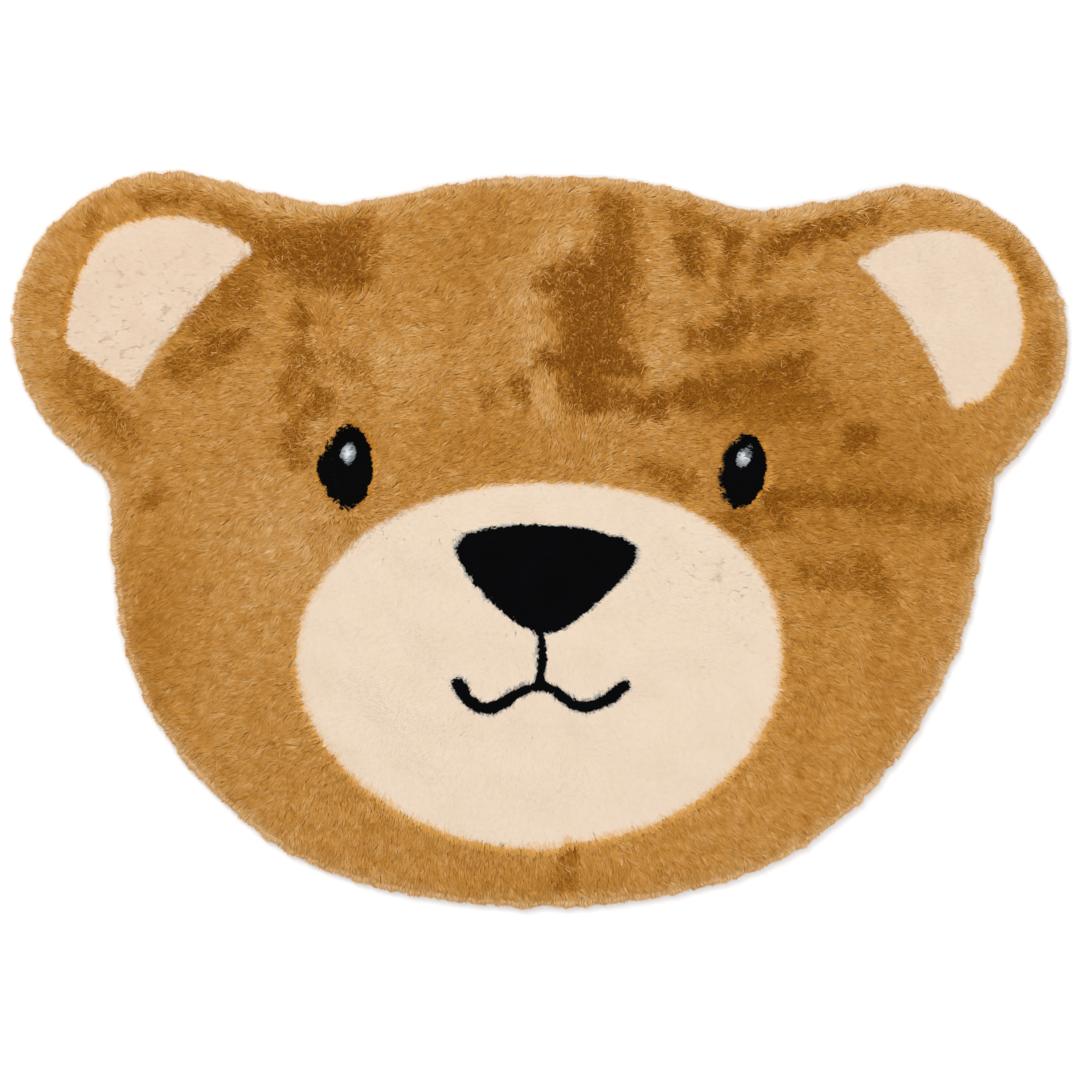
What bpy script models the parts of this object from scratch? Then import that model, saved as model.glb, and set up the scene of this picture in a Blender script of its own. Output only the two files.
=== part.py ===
"""Animal head rug: one piece of short plush cut to a bear's head with two round ears, lying flat.

Metres, +Z up. +X is the rug's length from ear to ear and +Y runs from the chin to the crown. The underside lies on z = 0.
"""

import math

import bpy
import numpy as np
from mathutils import Vector, noise
from mathutils.geometry import delaunay_2d_cdt

RUG_NAME = "animal_head_rug"
PLUSH_NODE = "plush_rug"

# The outline, clockwise from the left ear: arcs of ellipses, joined by smooth curves.
# name, centre_x, centre_y, radius_x, radius_y, from_deg, to_deg
OUTLINE_ARCS = (
    ("left ear", -0.351, 0.201, 0.148, 0.147, 231, 72),
    ("left dip", -0.200, 0.437, 0.120, 0.120, 256, 280),
    ("crown", 0.012, -0.190, 0.560, 0.534, 104, 80),
    ("right dip", 0.208, 0.431, 0.120, 0.120, 252, 284),
    ("right ear", 0.350, 0.184, 0.148, 0.150, 108, -8),
    ("right notch", 0.450, 0.046, 0.023, 0.023, 143, 183),
    ("right cheek", 0.007, 0.044, 0.413, 0.414, -8, -42),
    ("chin", 0.000, 0.271, 0.618, 0.618, -72, -108),
    ("left cheek", -0.101, -0.022, 0.302, 0.299, 224, 186),
    ("left notch", -0.431, 0.048, 0.023, 0.023, 0, 55),
)
ARC_STEP_DEG = 1.0
JOIN_STEPS = 24
DIRECTION_SPAN = 0.002

# The locks of pile along the rim.
LOCK_COUNT = 150
LOCK_STEPS = 4
LOCK_REACH = 0.0036
LOCK_WIDTH_SPREAD = 0.60
LOCK_REACH_SPREAD = 0.80
LOCK_ROUNDNESS = 0.7
LOCK_SEED = 41

# The rim's section, from the underside up: how far each ring lies inside the outline, its height, how much of a lock's
# reach it has, and how far it dips between two locks.
# name, inset, height, lock_share, dip
RIM_SECTION = (
    ("foot", 0.0060, 0.0000, 0.55, 0.0000),
    ("underlip", 0.0015, 0.0032, 0.90, 0.0000),
    ("lip", 0.0000, 0.0078, 1.00, 0.0006),
    ("shoulder", 0.0050, 0.0126, 0.80, 0.0014),
    ("brow", 0.0150, 0.0152, 0.45, 0.0010),
)

# The pile's top, with broad swells, tufts that are longer the way the pile lies, and brushed troughs.
TOP_HEIGHT = 0.0160
GRID_PITCH = 0.0142
EDGE_CLEARANCE = 0.0075
SWELL_LENGTH = 0.150
SWELL_HEIGHT = 0.0009
TUFT_LENGTH = 0.062
TUFT_WIDTH = 0.036
TUFT_HEIGHT = 0.0011
TUFT_DIRECTION_DEG = -28
RELIEF_FADE = 0.030

# The marks that a hand or a foot has brushed into the pile, each a soft trough along a line.
# name, start_x, start_y, end_x, end_y, width, depth
BRUSH_MARKS = (
    ("middle of the brow", 0.020, 0.285, 0.045, 0.185, 0.034, 0.0022),
    ("over the nose bridge", 0.055, 0.200, 0.095, 0.125, 0.030, 0.0020),
    ("brow, right of the middle", 0.105, 0.300, 0.150, 0.235, 0.030, 0.0016),
    ("brow, toward the right ear", 0.165, 0.205, 0.150, 0.165, 0.026, 0.0016),
    ("right dip", 0.215, 0.292, 0.235, 0.270, 0.026, 0.0012),
    ("brow, left", -0.200, 0.290, -0.205, 0.215, 0.028, 0.0018),
    ("left of the left eye", -0.215, 0.200, -0.225, 0.085, 0.030, 0.0020),
    ("beside the left ear", -0.315, 0.185, -0.300, 0.150, 0.030, 0.0018),
    ("between the eyes", -0.045, 0.135, -0.015, 0.125, 0.024, 0.0012),
    ("right of the right eye", 0.255, 0.050, 0.320, 0.028, 0.026, 0.0014),
    ("over the right eye", 0.280, 0.110, 0.300, 0.092, 0.024, 0.0012),
    ("right cheek", 0.290, -0.085, 0.265, -0.160, 0.028, 0.0012),
    ("left cheek", -0.290, -0.060, -0.300, -0.140, 0.028, 0.0012),
)

PILE_COLOUR = (0.48, 0.24, 0.07, 1.0)
PILE_ROUGHNESS = 0.95


# Scene

def clear_scene():
    for obj in list(bpy.data.objects):
        bpy.data.objects.remove(obj, do_unlink=True)


def new_collection(name):
    collection = bpy.data.collections.new(name)
    bpy.context.scene.collection.children.link(collection)
    return collection


def pile_material():
    material = bpy.data.materials.new("brown_plush")
    material.use_nodes = True
    shader = material.node_tree.nodes["Principled BSDF"]
    shader.inputs["Base Color"].default_value = PILE_COLOUR
    shader.inputs["Roughness"].default_value = PILE_ROUGHNESS
    material.diffuse_color = PILE_COLOUR
    return material


# Outline

def arc_points(centre_x, centre_y, radius_x, radius_y, from_deg, to_deg):
    steps = max(3, round(abs(to_deg - from_deg) / ARC_STEP_DEG))
    angles = np.radians(np.linspace(from_deg, to_deg, steps + 1))
    across = centre_x + radius_x * np.cos(angles)
    along = centre_y + radius_y * np.sin(angles)
    return np.column_stack([across, along])


def join_points(before, after):
    """A smooth curve from the end of one arc to the start of the next, leaving and meeting them in line."""
    start, end = before[-1], after[0]
    span = np.linalg.norm(end - start)
    leaving = span * unit(before[-1] - before[-2])
    meeting = span * unit(after[1] - after[0])
    t = np.linspace(0, 1, JOIN_STEPS + 1)[1:-1, None]
    return (
        (2 * t**3 - 3 * t**2 + 1) * start
        + (t**3 - 2 * t**2 + t) * leaving
        + (3 * t**2 - 2 * t**3) * end
        + (t**3 - t**2) * meeting
    )


def unit(vector):
    return vector / np.linalg.norm(vector)


def outline_points():
    """The closed outline without its locks, clockwise, as close points."""
    arcs = [arc_points(*row[1:]) for row in OUTLINE_ARCS]
    pieces = []
    for arc, following in zip(arcs, arcs[1:] + arcs[:1]):
        pieces.append(arc)
        pieces.append(join_points(arc, following))
    return np.concatenate(pieces)


def walk_outline(points, shares):
    """Positions and outward directions at these shares of the way round the outline."""
    closed = np.vstack([points, points[:1]])
    steps = np.linalg.norm(np.diff(closed, axis=0), axis=1)
    reached = np.concatenate([[0.0], np.cumsum(steps)])
    at = shares * reached[-1]

    def position(distance):
        distance = np.mod(distance, reached[-1])
        return np.column_stack([np.interp(distance, reached, closed[:, k]) for k in (0, 1)])

    onward = position(at + DIRECTION_SPAN) - position(at - DIRECTION_SPAN)
    onward /= np.linalg.norm(onward, axis=1)[:, None]
    outward = np.column_stack([-onward[:, 1], onward[:, 0]])
    return position(at), outward


# Locks

def lock_stations():
    """For each point round the rim, its share of the way round and how far its lock stands out there, 0 to 1."""
    draw = np.random.default_rng(LOCK_SEED)
    widths = 1 + LOCK_WIDTH_SPREAD * draw.uniform(-1, 1, LOCK_COUNT)
    reaches = 1 - LOCK_REACH_SPREAD * draw.uniform(0, 1, LOCK_COUNT)
    starts = np.concatenate([[0.0], np.cumsum(widths)])[:-1]
    within = np.arange(LOCK_STEPS) / LOCK_STEPS
    shares = (starts[:, None] + widths[:, None] * within) / widths.sum()
    fullness = reaches[:, None] * np.sin(math.pi * within) ** LOCK_ROUNDNESS
    return shares.ravel(), fullness.ravel()


def rim_rings():
    """The rings of the rim's section, from the underside up, each an array of points, counterclockwise."""
    shares, fullness = lock_stations()
    points, outward = walk_outline(outline_points(), shares)
    rings = []
    for _, inset, height, lock_share, dip in RIM_SECTION:
        offset = LOCK_REACH * lock_share * (fullness - 0.5) - inset
        flat = points + outward * offset[:, None]
        lift = height - dip * (1 - fullness)
        rings.append(np.column_stack([flat, lift])[::-1])
    return centred(rings)


def centred(rings):
    """The rings moved together, so that the middle of their box stands over the origin."""
    points = np.vstack(rings)
    middle = (points.min(axis=0) + points.max(axis=0)) / 2
    return [ring - (middle[0], middle[1], 0.0) for ring in rings]


# Pile

def trough(x, y, start_x, start_y, end_x, end_y, width, depth):
    line = Vector((end_x - start_x, end_y - start_y))
    reach = Vector((x - start_x, y - start_y))
    along = min(1.0, max(0.0, reach.dot(line) / line.length_squared))
    aside = (reach - line * along).length
    return depth * math.exp(-((aside / width) ** 2))


def relief(x, y):
    """How far the pile's top lies above its usual height at a place well inside the rim."""
    swell = SWELL_HEIGHT * noise.noise(Vector((x, y, 0.0)) / SWELL_LENGTH)
    turn = math.radians(TUFT_DIRECTION_DEG)
    along = x * math.cos(turn) + y * math.sin(turn)
    across = y * math.cos(turn) - x * math.sin(turn)
    tuft = TUFT_HEIGHT * noise.noise(Vector((along / TUFT_LENGTH, across / TUFT_WIDTH, 5.0)))
    brushed = sum(trough(x, y, *row[1:]) for row in BRUSH_MARKS)
    return 2 * (swell + tuft) - brushed


def grid_points():
    """Places on an even triangular grid that covers the rug."""
    reach = max(abs(centre_x) + radius_x for _, centre_x, _, radius_x, _, _, _ in OUTLINE_ARCS)
    rows = []
    for index, y in enumerate(np.arange(-reach, reach, GRID_PITCH * math.sqrt(3) / 2)):
        first = -reach + GRID_PITCH / 2 * (index % 2)
        rows += [(x, y) for x in np.arange(first, reach, GRID_PITCH)]
    return np.array(rows)


def edge_distance(places, ring):
    """Each place's distance inside a closed ring, negative outside it."""
    following = np.roll(ring, -1, axis=0)
    nearest = np.full(len(places), np.inf)
    crossings = np.zeros(len(places), int)
    for (x0, y0), (x1, y1) in zip(ring, following):
        line = np.array([x1 - x0, y1 - y0])
        reach = places - (x0, y0)
        along = np.clip(reach @ line / (line @ line), 0, 1)
        nearest = np.minimum(nearest, np.linalg.norm(reach - along[:, None] * line, axis=1))
        spans = (y0 > places[:, 1]) != (y1 > places[:, 1])
        with np.errstate(divide="ignore", invalid="ignore"):
            crossing_x = x0 + (places[:, 1] - y0) * (x1 - x0) / (y1 - y0)
        crossings += spans & (places[:, 0] < crossing_x)
    return np.where(crossings % 2 == 1, nearest, -nearest)


def pile_top(ring):
    """The points and triangles of the pile's top inside its highest rim ring, the ring's own points first."""
    places = grid_points()
    inside = edge_distance(places, ring[:, :2])
    kept = inside > EDGE_CLEARANCE
    places, inside = places[kept], inside[kept]
    fade = np.clip(inside / RELIEF_FADE, 0, 1)
    fade = fade**2 * (3 - 2 * fade)
    rim_height = RIM_SECTION[-1][2]
    raised = np.array([relief(x, y) for x, y in places])
    heights = rim_height + fade * (TOP_HEIGHT - rim_height + raised)
    points = np.vstack([ring, np.column_stack([places, heights])])
    flat = [Vector((x, y)) for x, y in points[:, :2]]
    _, _, triangles, sources, _, _ = delaunay_2d_cdt(flat, [], [list(range(len(ring)))], 1, 1e-7)
    triangles = [[sources[corner][0] for corner in face] for face in triangles]
    return points, triangles


# Rug

def rim_faces(ring_count, count):
    faces = []
    for level in range(ring_count - 1):
        low, high = level * count, (level + 1) * count
        for i in range(count):
            j = (i + 1) % count
            faces.append((low + i, low + j, high + j, high + i))
    return faces


def rug_mesh():
    rings = rim_rings()
    count = len(rings[0])
    below = np.vstack(rings[:-1])
    top_points, top_triangles = pile_top(rings[-1])
    shift = len(below)
    underside = tuple(reversed(range(count)))
    faces = [underside, *rim_faces(len(rings), count)]
    faces += [tuple(shift + corner for corner in face) for face in top_triangles]
    mesh = bpy.data.meshes.new(PLUSH_NODE)
    mesh.from_pydata(np.vstack([below, top_points]).tolist(), [], faces)
    mesh.validate()
    return mesh


def build_rug():
    mesh = rug_mesh()
    mesh.materials.append(pile_material())
    for face in mesh.polygons:
        face.use_smooth = len(face.vertices) < 5
    rug = bpy.data.objects.new(PLUSH_NODE, mesh)
    new_collection(RUG_NAME).objects.link(rug)


clear_scene()
build_rug()
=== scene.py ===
"""Looks of the animal head rug: printed plush with a bear's face, lying flat and seen from above.

The pile is made of short two-faced strands in clumps. They follow the solid's top, lean along the pile's
lie and fan out over the rim. A closed ground cloth with its dense underfur carries them.
Lengths are in metres. Shares, tones and amounts run from 0 to 1.
"""

import math

import bmesh
import bpy
import numpy as np
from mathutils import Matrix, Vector, kdtree
from mathutils.bvhtree import BVHTree


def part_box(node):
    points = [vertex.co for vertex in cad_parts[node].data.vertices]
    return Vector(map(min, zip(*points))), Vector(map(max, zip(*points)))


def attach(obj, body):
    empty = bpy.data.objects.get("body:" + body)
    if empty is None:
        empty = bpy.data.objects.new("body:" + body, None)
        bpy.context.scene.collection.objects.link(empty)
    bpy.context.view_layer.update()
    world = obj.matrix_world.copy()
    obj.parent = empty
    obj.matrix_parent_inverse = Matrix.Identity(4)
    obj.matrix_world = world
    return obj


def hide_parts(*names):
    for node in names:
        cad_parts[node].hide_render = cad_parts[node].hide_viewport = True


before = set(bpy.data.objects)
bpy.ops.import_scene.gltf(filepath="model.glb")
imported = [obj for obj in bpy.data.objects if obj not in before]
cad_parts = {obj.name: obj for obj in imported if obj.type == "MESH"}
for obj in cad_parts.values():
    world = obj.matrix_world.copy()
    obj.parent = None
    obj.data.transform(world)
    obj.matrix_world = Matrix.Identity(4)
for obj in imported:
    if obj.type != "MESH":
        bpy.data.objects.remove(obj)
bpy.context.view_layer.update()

PLUSH_NODE = "plush_rug"
SEED = 7
TINY = 1e-6

# The grid on which the solid's height and the distance to its rim are read.
FIELD_PITCH = 0.0025
FIELD_MARGIN = 0.012
EDGE_PASSES = 8
RAY_START = 0.1
# The heights between which the solid's widest ring lies, and the places read on each of its edges.
LIP_LOW, LIP_HIGH = 0.0066, 0.0084
LIP_STEPS = 6

# Smooth unevenness is a sum of waves, with lengths in this range.
RIPPLE_WAVES = 14
RIPPLE_LENGTHS = (0.6, 1.6)
RIPPLE_CALM = 1.2
# Uneven edges and directions: reach, wavelength, seed.
PRINT_WAVERS = ((0.0009, 0.014, 41), (0.0006, 0.005, 43))
RUFFLE_WAVERS = ((0.0040, 0.020, 31), (0.0018, 0.007, 33))
RIM_WAVES = ((0.0010, 0.060, 21), (0.0011, 0.022, 22), (0.0015, 0.009, 23))
NAP_WAVES = ((0.30, 0.050, 13), (0.24, 0.020, 14))
# Uneven areas: wavelength, seed.
PATCHES = (0.055, 11)
FLECKS = (0.018, 12)
CREASE_BREAKS = (0.016, 53)

# Clumps
CLUMP_PITCH = 0.0036
CLUMP_JITTER = 0.26
STRANDS_A_CLUMP = 9
ROOT_INSET = 0.0022
# Values that go by the pile: on plain pile, added by ruffling, added by smoothness.
CLUMP_TURN = (0.14, 0.45, 0.0)
STRAND_TURN = (0.13, 0.75, 0.0)
GATHERING = (0.52, -0.12, 0.45)
TIP_DEPTH = (0.0014, 0.0014, -0.0011)
OWN_TONE = (0.068, 0.18, 0.0)
# How much darker the strands are drawn toward their roots: painted shade deep in the pile, strongest where
# it is ruffled.
ROOT_SHADE = (0.16, 0.80, -0.11)
# Ruffling: what unevenness adds, what cream loses, and the band in which it begins at the rim.
FINE_RUFFLE = 0.2
PATCHY_RUFFLE = 0.12
CREAM_RUFFLE_LOSS = 0.9
RUFFLE_RIM = (0.008, 0.024)
# How far the tips lean over, and how they fan out at the rim.
LEANS = (0.12, 1.05)
LEAN_SPREAD = 0.05
RUFFLED_RISE = 0.55
SMOOTH_RISE = 0.05
FINE_LEAN = 0.10
SMOOTH_NAP = 0.6
FAN = 1.7
FAN_BAND = (0.003, 0.017)
# A clump's tone, from the darkest to the lightest of its colour.
PILE_TONE = 0.60
MOTTLING = 0.05
# Ruffled pile is darkened with painted shade, and a band along the rim is lightened with painted light.
RUFFLE_SHADE = 0.41
RIM_PAINTED_LIGHT = 0.15
RIM_PAINTED_LIGHT_BAND = (0.010, 0.025)
EAR_DARK = 0.20
CLUMP_TONE_SPREAD = 0.06
SMOOTH_TONE_LOSS = 0.7

# Strands
STRAND_WIDTH = 0.00115
WIDTH_SPREAD = (0.8, 1.2)
SMOOTH_WIDENING = 1.1
CLUMP_SPAN = 0.72
TIP_STRAY = 0.0009
STRAND_LEANS = (0.08, 1.1)
STRAND_LEAN_SPREAD = 0.06
UPRIGHT_REACH, LEANING_REACH = 0.0025, 0.0088
REACH_SPREAD = (0.75, 1.2)
CREASE_SHORTENING = 0.35
OWN_TONE_LIMITS = (-2.4, 1.5)
OWN_TONE_LOSS = 0.75
# Where along its length a strand shows most, which decides its colour, and where it is widest.
SEEN_SHARE = 0.62
MIDDLE_SHARE = 0.42
MIDDLE_RISE = 0.64
# Tufts in ruffled pile, with painted light in the middle and painted shade where they part.
TUFT_TABLE = 64
TUFT_PITCH, TUFT_SEED = 0.0052, 51
TUFT_PULL = 0.30
TUFT_PARTING = (0.0003, 0.0028)
TUFT_PAINTED_LIGHT, PARTING_SHADE, TUFT_TONE_SPREAD = 0.12, 0.72, 0.26
# Lumps in the creased cream pile, with broken lines between them that sink and are darkened with painted
# shade.
LUMP_PITCH, LUMP_SEED = 0.0105, 52
CREASE_WIDTH = 0.0030
CREASE_BREAK = (-0.1, 0.5)
CREASE_SHADE = 0.60
# Heights: the bands in which the solid's height takes over from the rim's profile, the underfur's share of
# it, and how far roots lie under it and tips over it.
TIP_BLEND = (0.010, 0.020)
ROOT_BLEND = (0.008, 0.018)
UNDERFUR_SHARE = 0.82
CALM_UNDERFUR = 0.15
ROOT_SINK, SMOOTH_ROOT_RISE = 0.0010, 0.0017
TIP_RISE = 0.0006
PARTING_DEPTH = 0.0014
RIM_LIFT = 0.6
LEAST_TIP_HEIGHT = 0.0006

# The pile's height at distances inside the rim, as on the solid, and how far tips stand past it.
RIM_EDGES = (-0.002, 0.0, 0.005, 0.015, 0.045)
RIM_HEIGHTS = (0.0060, 0.0078, 0.0126, 0.0152, 0.0160)
RIM_REACH = 0.0014
RIM_SPREAD = 0.0005
# The strands of the rim's side, by their level from 0 at the bottom to 1 at the shoulder.
RIM_STRANDS = 36000
RIM_SCATTER = 0.0012
RIM_ROOT_DEPTH, RIM_ROOT_SPREAD = 0.0085, (0.7, 1.1)
RIM_ROOT_LOW, RIM_ROOT_RISE = 0.0012, 0.0062
RIM_SKEW = 0.0022
RIM_BULGE, RIM_BULGE_MIDDLE, RIM_OUT_SPREAD = 0.0016, 0.85, 0.0007
RIM_TIP_LOW, RIM_TIP_RISE, RIM_TIP_POWER, RIM_TIP_SPREAD = 0.0005, 0.0102, 1.1, 0.0006
RIM_TIP_LIMITS = (0.0004, 0.012)
RIM_WIDTH_SPREAD = (0.7, 1.2)
# Rim strands are drawn lighter than the plain pile, a painted light that grows toward the shoulder; painted
# shade darkens their roots.
RIM_LIT_TONE, RIM_LIT_RISE, RIM_TONE_SPREAD = 0.80, 0.12, 0.05
RIM_ROOT_SHADE = 0.2
RIM_CALM = 0.3

# The print's borders: how far strands reach over them, and how unevenly the print took there.
BORDER_REACH = 0.0013
ROOT_REACH_SHARE = 0.6
BLACK_REACH_SHARE, BLACK_REACH_BAND = 0.3, 0.004
GLINT_REACH_SHARE = 0.2
LEAST_LENGTH_SHARE = 0.15
BORDER_BLUR, BLUR_LIMIT = 0.0020, 1.6
BLACK_BLUR_SHARE = 0.3
GLINT_FUZZ, GLINT_FUZZ_SPREAD = 0.0020, (-0.5, 1)
# Strands this near a black border are cut to these shares, so that it stays clear.
SHORT_BAND = (0.0015, 0.0045)
SHORT_SHARES = (0.6, 1.0)
# Cream tones: the plain ones, the least one near a border, and where those with brown dye begin.
CREAM_TONES = (0.15, 0.78)
BORDER_CREAM_TONE, BORDER_CREAM_BAND = 0.45, 0.003
DYED_CREAM_TONE = 0.80
# The greyish halo of black shapes on the cream, and how the glints grow lighter inward.
HALO_WIDTH, HALO_SPREAD = 0.0024, (0.3, 1)
HALO_RISE = 62.0
GLINT_TONE, GLINT_RISE = 0.06, 150.0
# The bands in which strands took the other colour's dye, and how much of it they took.
BORDER_DYE, DYE_SPREAD = 0.0078, (0.4, 1)
CREAM_DYED = 0.75
BROWN_DYED, BROWN_DYE_FALL = 0.2, 1.5
BLACK_DYE, BLACK_DYED = 0.0050, 0.22
# Bands at the shapes' borders, from outside to inside: where the pile turns smooth, where its underfur
# rises, and where the ground cloth turns cream.
SMOOTH_BORDER = (-0.002, 0.006)
CLOTH_BORDER = (-0.0055, 0.0005)
CLOTH_DYE_BORDER = (-0.0040, 0.0010)
# Where the ears begin, and how much of the left ear's darker tone the right one has.
EAR_FOOT = (0.070, 0.100)
RIGHT_EAR_SHARE = 0.45

# How far shading goes by the strand, by its roll and by the surface, and how strands roll.
SHADING_BY_STRAND, SHADING_BY_ROLL, SHADING_BY_SURFACE = 0.45, 0.125, 0.65
CALM_SHADING = 2.2
BROWN_CALM = 0.2
ROLL_SPREAD, CALM_ROLL_LOSS = 0.42, 0.8
LEAST_HEIGHT = 0.0003
TONE_LIMITS = (0.02, 0.98)
MAP_HALF_WIDTH, MAP_MARGIN = 0.006, 0.01
MOST_STRANDS_A_PIECE = 92000

# The ground cloth: how far it lies inside the rim, and up to what height it is the underside.
CLOTH_INSET, CLOTH_INSET_BAND = 0.0052, 0.020
UNDERSIDE = 0.0005
BLACK_CLOTH_DEPTH = 0.001

# Studio
FLOOR_REACH = 6.0
FLOOR_SHADE = 0.93
DAYLIGHT = 0.92
# name, place, size, power
LIGHTS = (
    ("key", (-1.1, 1.5, 2.4), 1.4, 30.0),
    ("fill", (1.6, -1.0, 2.4), 1.8, 12.0),
)
# The camera looks straight down, and its picture is so wide at the pile.
CAMERA_HEIGHT = 3.2
PILE_LEVEL = 0.014
PICTURE_WIDTH = 1.0206
SENSOR_MM = 36.0

# The way the pile lies: places with the direction in which its tips point there.
# x, y, direction_deg
NAP = (
    (-0.470, 0.270, 150), (-0.400, 0.325, 120), (-0.470, 0.170, 190), (-0.420, 0.085, 225),
    (-0.330, 0.325, 172), (-0.332, 0.250, 176), (-0.261, 0.290, 161), (-0.300, 0.160, 188),
    (-0.332, 0.104, 199), (-0.261, 0.120, 204), (-0.332, -0.009, 219), (-0.255, 0.010, 218),
    (-0.340, -0.110, 208), (-0.261, -0.150, 212), (-0.290, -0.220, 214), (-0.190, -0.290, 262),
    (-0.100, -0.315, 270), (0.010, -0.335, 276), (0.100, -0.310, 305), (0.170, -0.285, 316),
    (0.240, -0.230, 316), (0.306, -0.160, 314), (0.350, -0.100, 328), (0.360, -0.030, 345),
    (0.290, 0.000, 350), (0.235, 0.060, 354), (0.310, 0.090, 348), (0.385, 0.090, 318),
    (0.450, 0.110, 318), (0.465, 0.200, 340), (0.430, 0.290, 20), (0.350, 0.310, 8),
    (0.340, 0.200, 352), (0.235, 0.270, 358), (0.235, 0.160, 356), (0.164, 0.210, 352),
    (0.100, 0.325, 4), (0.100, 0.218, 358), (0.164, 0.104, 3), (0.094, 0.104, 2),
    (0.023, 0.325, 36), (-0.048, 0.320, 38), (-0.048, 0.240, 34), (-0.119, 0.270, 18),
    (-0.119, 0.190, 20), (-0.048, 0.160, 22), (-0.119, 0.104, 16), (-0.048, 0.104, 10),
    (0.030, 0.190, 145), (0.030, 0.110, 120), (-0.125, 0.045, 34), (-0.180, -0.080, 222),
    (-0.120, -0.020, 240), (-0.120, -0.120, 205), (-0.100, -0.230, 250), (0.000, -0.180, 270),
    (0.000, 0.020, 5), (0.100, 0.010, 350), (0.100, -0.080, 340), (0.190, -0.060, 335),
    (0.190, -0.140, 320), (0.100, -0.230, 300),
)
NAP_REACH = 0.055

# Where a hand or a foot has ruffled the pile, so that it stands up and shows its roots; painted shade
# darkens it there.
# start_x, start_y, end_x, end_y, half_width, strength
RUFFLES = (
    (0.024, -0.290, 0.024, -0.320, 0.009, 0.35), (0.067, 0.326, 0.067, 0.270, 0.018, 0.60),
    (0.035, 0.248, 0.067, 0.243, 0.024, 0.75), (0.005, 0.239, 0.020, 0.241, 0.013, 0.75),
    (0.039, 0.223, 0.056, 0.185, 0.026, 0.90), (0.004, 0.169, 0.084, 0.159, 0.010, 0.85),
    (0.041, 0.175, 0.040, 0.133, 0.017, 0.95), (0.056, 0.128, 0.098, 0.127, 0.013, 0.70),
    (0.098, 0.123, 0.133, 0.138, 0.011, 0.75), (0.133, 0.139, 0.235, 0.165, 0.015, 0.50),
    (0.150, 0.133, 0.254, 0.131, 0.019, 0.38), (0.218, 0.154, 0.247, 0.169, 0.011, 0.45),
    (0.136, 0.279, 0.141, 0.258, 0.013, 0.75), (0.176, 0.289, 0.176, 0.272, 0.010, 0.80),
    (0.171, 0.267, 0.169, 0.232, 0.008, 0.45), (0.120, 0.310, 0.164, 0.298, 0.011, 0.42),
    (0.224, 0.280, 0.311, 0.312, 0.011, 0.90), (0.211, 0.279, 0.203, 0.254, 0.012, 0.42),
    (0.164, 0.191, 0.184, 0.206, 0.014, 0.75), (0.139, 0.189, 0.150, 0.199, 0.010, 0.45),
    (0.186, 0.206, 0.240, 0.216, 0.017, 0.45), (0.290, 0.095, 0.303, 0.101, 0.012, 0.55),
    (0.209, 0.041, 0.303, 0.039, 0.009, 0.50), (0.216, 0.031, 0.222, 0.023, 0.011, 0.50),
    (0.303, 0.036, 0.394, 0.027, 0.014, 0.32), (0.243, -0.028, 0.292, -0.034, 0.012, 0.35),
    (0.300, -0.020, 0.320, -0.049, 0.012, 0.42), (0.388, -0.011, 0.402, -0.004, 0.011, 0.35),
    (0.188, 0.014, 0.175, 0.024, 0.013, 0.45), (0.098, 0.067, 0.133, 0.052, 0.011, 0.40),
    (-0.023, 0.142, -0.019, 0.134, 0.010, 0.65), (-0.057, 0.136, -0.056, 0.129, 0.009, 0.45),
    (-0.258, 0.284, -0.180, 0.281, 0.019, 0.45), (-0.216, 0.260, -0.184, 0.254, 0.021, 0.70),
    (-0.203, 0.298, -0.179, 0.246, 0.014, 0.45), (-0.250, 0.275, -0.241, 0.263, 0.015, 0.50),
    (-0.223, 0.220, -0.222, 0.201, 0.008, 0.60), (-0.224, 0.180, -0.218, 0.163, 0.013, 0.42),
    (-0.235, 0.154, -0.235, 0.135, 0.009, 0.45), (-0.203, 0.139, -0.228, 0.104, 0.009, 0.55),
    (-0.235, 0.095, -0.226, 0.080, 0.010, 0.60), (-0.190, 0.171, -0.162, 0.144, 0.010, 0.35),
    (-0.309, 0.183, -0.279, 0.191, 0.009, 0.65), (-0.341, 0.167, -0.336, 0.176, 0.009, 0.55),
    (-0.318, 0.216, -0.275, 0.237, 0.021, 0.42), (-0.332, 0.159, -0.292, 0.180, 0.016, 0.32),
    (-0.405, 0.121, -0.388, 0.104, 0.017, 0.42), (-0.438, 0.156, -0.417, 0.133, 0.017, 0.32),
    (-0.368, 0.317, -0.322, 0.327, 0.010, 0.50), (-0.307, 0.316, -0.275, 0.302, 0.012, 0.38),
    (-0.421, 0.317, -0.421, 0.293, 0.007, 0.38), (-0.479, 0.235, -0.456, 0.235, 0.005, 0.30),
    (-0.366, 0.038, -0.354, 0.048, 0.008, 0.35), (-0.165, 0.310, -0.179, 0.297, 0.009, 0.45),
    (0.438, 0.280, 0.462, 0.237, 0.009, 0.35), (0.473, 0.199, 0.476, 0.147, 0.011, 0.28),
)
# How soft a ruffle's edge is, in half widths from its middle line.
RUFFLE_EDGE = (0.28, 1.62)

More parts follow.
